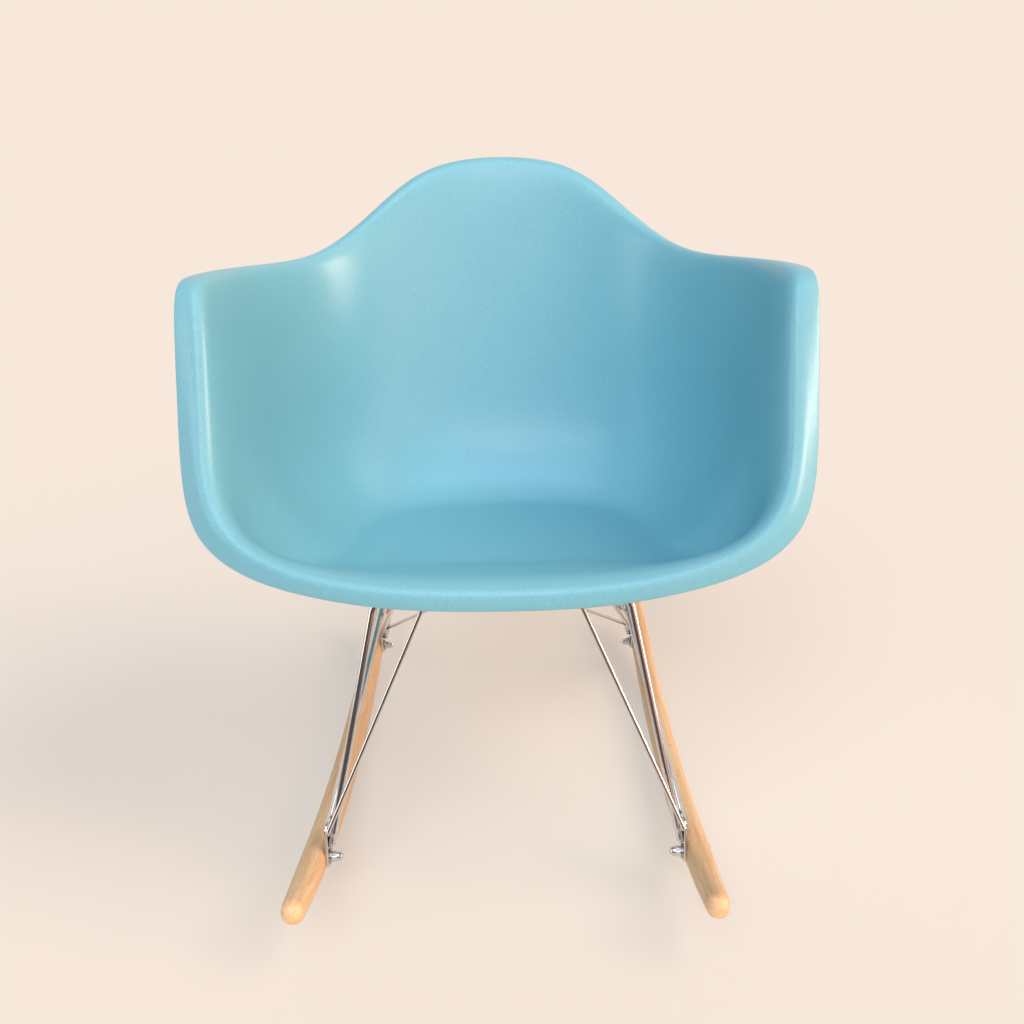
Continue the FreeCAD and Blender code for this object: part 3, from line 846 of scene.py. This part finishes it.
def rod_radii(d, length, radius, beads):
    """Round ends, and a bell-shaped swelling with a ripple round it at each weld. A bead is
    written as its place along the rod, its reach and its height."""
    to_end = np.minimum(d, length - d)
    cap = np.sqrt(np.clip(1 - ((radius - to_end) / radius).clip(0, 1) ** 2, 0.0025, 1))
    ripple = 1 + 0.22 * np.sin(5 * round_rod.T + 1.3) + 0.12 * np.sin(9 * round_rod.T)
    swell = 0
    for start, reach, height in beads:
        swell = swell + height * np.exp(-(((d - start) / reach) ** 2))[:, None] * ripple
    return radius * cap[:, None] + swell


def straight_rod(low, high, diameter, low_bead, high_bead):
    """A straight rod between two points, with beads of the given heights beside its ends."""
    length = np.linalg.norm(high - low)
    along = (high - low) / length
    radius = diameter / 2
    d = distances(length, radius)
    low_weld = (radius * 1.1, radius * 0.8, low_bead)
    high_weld = (length - radius * 1.3, radius * 0.7, high_bead)
    radii = rod_radii(d, length, radius, [low_weld, high_weld])
    return sweep(low + along * d[:, None], along, unit(np.cross(along, BACK)), radii)


print("rings along 300 mm of thick rod", len(distances(300, rod_d / 2)))

# %% [markdown]
# Each wire frame is one rod, bent twice in one plane, so one side direction serves all its
# circles. Half of it is worked out and then mirrored.

# %% Wire frames
bend_radius, bend_rings, bar_rings = 22, 26, 7
# reach and height of the bead at the top of each foot plate
leg_bead = (3, 0.5)


def bent_frame(leg):
    """Leg, bend, crossbar, bend, leg. An arc rounds each corner, and starts the radius times the
    tangent of half the turn before it."""
    foot, corner = leg
    up_leg = unit(corner - foot)
    side = unit(np.cross(up_leg, ACROSS))
    half = math.acos(float(np.dot(up_leg, ACROSS))) / 2
    start = corner - up_leg * (bend_radius * math.tan(half))
    centre = start + np.cross(side, up_leg) * bend_radius
    bend = np.linspace(0, 2 * half, bend_rings)[:, None]
    outward = (start - centre) / bend_radius
    arc = centre + bend_radius * (outward * np.cos(bend) + up_leg * np.sin(bend))
    arc_along = up_leg * np.cos(bend) - outward * np.sin(bend)
    run = np.linalg.norm(start - foot)
    d = distances(2 * run, rod_d / 2)
    d = d[d < run * 0.98]
    centres = np.concatenate([foot + up_leg * d[:, None], arc])
    along = np.concatenate([np.broadcast_to(up_leg, (len(d), 3)), arc_along])
    # the rod's far end is the other leg's, so the half that is worked out has none
    welded = rod_radii(d, math.inf, rod_d / 2, [(plate_rise - leg_end_rise, *leg_bead)])
    shares = np.linspace(-0.75, 0.75, bar_rings)[:, None]
    bar = shares * (arc[-1] * -ACROSS) + arc[-1] * (1 - ACROSS)
    bar_along = np.broadcast_to(ACROSS, bar.shape)
    centres = np.concatenate([centres, bar, (centres * FLIP)[::-1]])
    along = np.concatenate([along, bar_along, (along * -FLIP)[::-1]])
    plain = np.full((2 * bend_rings + bar_rings, rod_sides), rod_d / 2)
    radii = np.concatenate([welded, plain, np.roll(welded[::-1, ::-1], 1, 1)])
    return sweep(centres, along, side, radii)


for end, leg in (("front", front_leg), ("rear", rear_leg)):
    make_piece(end + "_wire_frame", [bent_frame(leg)], chrome, [end + "_frame"])

# %% [markdown]
# Thick diagonals join each foot to the opposite crossbar, and thin braces run from the feet to
# the front one. Two ends and a diameter say all about a straight rod.

# %% Diagonals and braces
below = UP * diagonal_drop
straight_wires = [
    # node, lower end, upper end, diameter, heights of the two beads
    ("front_diagonal", front_low, front_high - below, rod_d, (0.5, 0.7)),
    ("rear_diagonal", rear_low, rear_high - below, rod_d, (0.5, 0.7)),
    ("front_brace", front_brace_low, front_brace_high, brace_d, (0.5, 0.6)),
    ("rear_brace", rear_brace_low, rear_brace_high, brace_d, (0.6, 0.6)),
]
for node, low, high, diameter, beads in straight_wires:
    rod = straight_rod(low, high, diameter, *beads)
    both_sides(node + "_rod", rod, chrome, node)

# %% [markdown]
# ## Flat plates
# The foot plates and the mounting tabs are cut from 3 mm steel and tumbled, which rounds their
# edges. Such a plate is a ring: a section goes from the hole out along one face, round the outer
# edge and back along the other. The outline is points with outward directions, and moving in from
# the edge is a step against them.

# %% Plates
screw_d, hole_clearance = 6, 0.4
hole_radius = (screw_d + hole_clearance) / 2
tab_width, tab_depth, tab_corner, tab_thickness = 32, 34, 5, 3
edge_round = 0.6


def rounded(centres, first, second, steps):
    """One arc about each centre, of equal turns that add up to a circle, as the centres and the
    outward directions of its points: first cos + second sin."""
    part, count = 2 * math.pi / len(centres), np.arange(len(centres))[:, None]
    turn = (np.linspace(0, part, steps) + part * count).reshape(-1, 1)
    return np.repeat(centres, steps, 0), first * np.cos(turn) + second * np.sin(turn)


def plate_ring(corners, radius, hole, normal, thickness):
    """Rows round the plate's section: hole, lower face, rounded edge, upper face, hole."""
    centres, outward = corners
    outline = centres + outward * radius
    quarter = np.linspace(0, math.pi / 2, 5)
    by_sine, by_cosine = (edge_round * (1 - f(quarter)) for f in (np.sin, np.cos))
    inset = np.concatenate([by_sine, by_cosine])[:, None, None]
    level = np.concatenate([by_cosine, thickness - by_sine])[:, None, None]
    rim = outline[None] - outward[None] * inset + normal * level
    inner = [outline - outward * 3 * edge_round, hole + unit(outline - hole) * hole_radius]
    low, high = np.stack(inner[::-1]), np.stack(inner) + normal * thickness
    return np.concatenate([low, rim, high]), True


def foot_plate(leg, sign):
    """A tongue with round ends: half circles about its lower and its upper end."""
    low = np.array([inner_face, sign * foot_y, bolt_z[sign]])
    high = np.array([inner_face, *on_leg(leg, bolt_z[sign] + plate_rise)[1:]])
    along = unit(high - low)
    ends = rounded([low, high], np.cross(along, ACROSS), -along, 33)
    return plate_ring(ends, plate_half, low, ACROSS, plate_thickness)


def tab(bar_y, hole_y, base_z):
    """A rounded rectangle: quarter circles about four corner centres, in order round it."""
    near = bar_y - rod_d / 2 if hole_y > bar_y else bar_y + rod_d / 2 - tab_depth
    middle = np.array([-mount_x, near + tab_depth / 2, base_z])
    half = np.array([tab_width / 2 - tab_corner, tab_depth / 2 - tab_corner, 0.0])
    signs = np.array([(1, 1, 0), (-1, 1, 0), (-1, -1, 0), (1, -1, 0)])
    corners = rounded(middle + signs * half, ACROSS, BACK, 9)
    hole = np.array([-mount_x, hole_y, base_z])
    return plate_ring(corners, tab_corner, hole, UP, tab_thickness)


for end, leg, sign in (("front", front_leg, -1), ("rear", rear_leg, 1)):
    plate = foot_plate(leg, sign)
    both_sides(end + "_foot_tongue", plate, chrome, end + "_foot_plate")
for end, bar_y, hole_y in (("front", front_bar_y, front_hole_y), ("rear", rear_bar_y, rear_hole_y)):
    plate = tab(bar_y, hole_y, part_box(end + "_tab_left")[0].z / MM)
    both_sides(end + "_tab_plate", plate, chrome, end + "_tab")

# %% [markdown]
# ## Turned pieces
# Washers, pads, screws and nuts are turned on a lathe or pressed. Their outline is a short list of
# corners, each eased into a small curve, because a real edge is never sharp and its highlight is
# what the eye finds. Where a part is hexagonal, the radius is the smaller of the hexagon's and the
# outline's.

# %% Turning
def eased(corners, reach):
    """Corners replaced by curves (1-t)^2 A + 2t(1-t) corner + t^2 B, A and B the reach away from
    it at most."""
    p = np.array(corners, float)
    to_last, to_next = np.roll(p, 1, 0) - p, np.roll(p, -1, 0) - p
    a, b = (np.linalg.norm(v, axis=1, keepdims=True) for v in (to_last, to_next))
    start = p + to_last / a * np.minimum(reach, a * 0.45)
    end = p + to_next / b * np.minimum(reach, b * 0.45)
    t = np.linspace(0, 1, 5)[:, None, None]
    curve = (1 - t) ** 2 * start + 2 * t * (1 - t) * p + t ** 2 * end
    return curve.transpose(1, 0, 2).reshape(-1, 2)


def turned(profile, base, axis, flats=None, around=72, closed=False):
    """Revolves (distance, radius) rows about an axis through the base. Rows with a third value of
    1 are hexagonal: half the flats over the cosine of the angle from the middle of a flat."""
    other = np.cross(axis, BACK)
    turn = np.linspace(0, 2 * math.pi, around, endpoint=False)[None, :]
    profile = np.array(profile, float)
    radius = profile[:, 1:2] + 0 * turn
    if flats:
        hexagon = flats / 2 / np.cos((turn + math.pi / 6) % (math.pi / 3) - math.pi / 6)
        radius = np.where(profile[:, 2:3] > 0.5, np.minimum(hexagon, radius), radius)
    ring = BACK * np.cos(turn)[..., None] + other * np.sin(turn)[..., None]
    return base + axis * profile[:, 0, None, None] + radius[..., None] * ring, closed


def collar(base, axis, outer_d, length, ease):
    """A washer or pad round a screw: a rectangle with eased corners, turned."""
    outer = outer_d / 2
    corners = [(0, hole_radius), (0, outer), (length, outer), (length, hole_radius)]
    return turned(eased(corners, ease), base, axis, closed=True)


print("an eased square has", len(eased([(0, 0), (0, 1), (1, 1), (1, 0)], 0.2)), "points")

# %% [markdown]
# A rubber pad stands between each boss and its tab, so that the shell can flex.

# %% Pads
pad_d, pad_height, pad_ease = 28, 5, 1
for end, hole_y, foot_z in mounts:
    pad = collar([-mount_x, hole_y, foot_z - pad_height], UP, pad_d, pad_height, pad_ease)
    both_sides(end + "_pad_ring", pad, rubber, end + "_pad")

# %% [markdown]
# ## Screws
# The screws have a low round head with a hexagonal socket for the key. One outline serves for them
# and for the bolts through the rockers: up out of the socket, over the head, back to the shank and
# along it to the tip.

# %% Screws and washers
key_flats, key_depth = 4, 2.2
washer_d, washer_thickness, washer_ease = 15, 1.4, 0.25
# diameter, height and rounding of the head, and the screw's length in the insert
screw_head, screw_grip = (11, 4, 1.2), 5.5
# edges of screws and nuts that turn by more degrees than this stay sharp
sharp_edge = 38


def socket_screw(base, axis, head, length):
    """Rows up the socket's six sides, over the head and along the shank. The socket's corners are
    its flats over the root of 3 from the axis."""
    head_d, head_height, dome = head
    corner, shank = key_flats / math.sqrt(3), screw_d / 2
    socket = [(key_depth + 0.5, 0.05, 0), (key_depth, corner * 0.98, 1)]
    mouth = [(0.35, corner, 1), (0.05, corner + 0.35, 0), (0.0, head_d / 2 - dome - 0.2, 0)]
    bend = np.linspace(0, math.pi / 2, 7)[1:]
    rim = [(dome * (1 - math.cos(a)), head_d / 2 - dome * (1 - math.sin(a)), 0) for a in bend]
    under = [(head_height - 0.15, head_d / 2, 0), (head_height, head_d / 2 - 0.15, 0)]
    neck = [(head_height, shank + 0.05, 0), (head_height + 0.3, shank, 0)]
    tip = [(length - 0.8, shank, 0), (length, shank - 0.7, 0), (length, 0.05, 0)]
    rows = socket + mouth + rim + under + neck + tip
    return turned(rows, base, axis, flats=key_flats, around=96)


def washer(base, axis):
    """A pressed washer, its bearing face at the base."""
    return collar(base, axis, washer_d, washer_thickness, washer_ease)


stack = washer_thickness + tab_thickness + pad_height
screws, washers = [], []
for _, hole_y, foot_z in mounts:
    seat_z = foot_z - stack
    head_z = seat_z - screw_head[1]
    screw_length = screw_head[1] + stack + screw_grip
    screw = socket_screw([-mount_x, hole_y, head_z], UP, screw_head, screw_length)
    ring = washer([-mount_x, hole_y, seat_z], UP)
    screws += [screw, mirrored(screw)]
    washers += [ring, mirrored(ring)]
make_piece("seat_screws", screws, zinc, ["mount_screws"], sharp=sharp_edge)
make_piece("seat_washers", washers, zinc, ["mount_washers"])

# %% [markdown]
# ## Bolts at the feet
# A bolt goes through each end of a rocker and its foot plate, with a washer under its head and
# another under a cap nut. Limiting a nut's turned outline by the hexagon makes its curved chamfers
# at once, which cutting a hexagonal bar doesn't.

# %% Bolts and cap nuts
outer_face = -(rocker_spacing + rocker_width) / 2
bolt_head = (14, 3.2, 1.6)
nut_flats, nut_height = 10, 6
# radius of the nut's dome and where it starts, then the rows of its collar and hexagon
crown_radius, crown_base = 4.75, 7.2
nut_rows = [
    (0, 0.05, 0), (0, 5.6, 0), (0.15, 5.9, 0), (0.4, 6, 0), (0.9, 6, 0), (1.15, 5.9, 0),
    (1.3, 5.75, 1), (1.7, 5.74, 1), (4.9, 5.74, 1), (5.3, 5.55, 1), (5.8, 5.1, 1),
    (nut_height, 4.85, 1), (nut_height, crown_radius, 0),
]


def cap_nut(base):
    """The rows of the nut, then a quarter circle for the dome: r sine along and r cosine out."""
    r, turn = crown_radius, np.linspace(0, math.pi / 2, 15)[:-1]
    dome = [(crown_base + r * math.sin(a), r * math.cos(a), 0) for a in turn]
    rows = nut_rows + dome + [(crown_base + r, 0.05, 0)]
    return turned(rows, base, ACROSS, flats=nut_flats, around=96)


bolt_length = rocker_width + plate_thickness + washer_thickness + nut_height
bolts, rings, nuts = [], [], []
for sign in (-1, 1):
    y, z = sign * foot_y, bolt_z[sign]
    bolt = socket_screw([outer_face, y, z], ACROSS, bolt_head, bolt_length)
    outer = washer([outer_face + bolt_head[1], y, z], ACROSS)
    inner = washer([plate_face, y, z], ACROSS)
    nut = cap_nut([plate_face + washer_thickness, y, z])
    bolts += [bolt, mirrored(bolt)]
    rings += [outer, inner, mirrored(outer), mirrored(inner)]
    nuts += [nut, mirrored(nut)]
make_piece("rocker_bolt_set", bolts, zinc, ["rocker_bolts"], sharp=sharp_edge)
make_piece("foot_washers", rings, zinc, ["bolt_washers"])
make_piece("cap_nuts", nuts, chrome, ["dome_nuts"], sharp=sharp_edge)

# %% [markdown]
# ## Finish
# The picture is shown with no film look, so that colours come out as they are written.

# %% Finish
bpy.context.scene.view_settings.view_transform = "Standard"
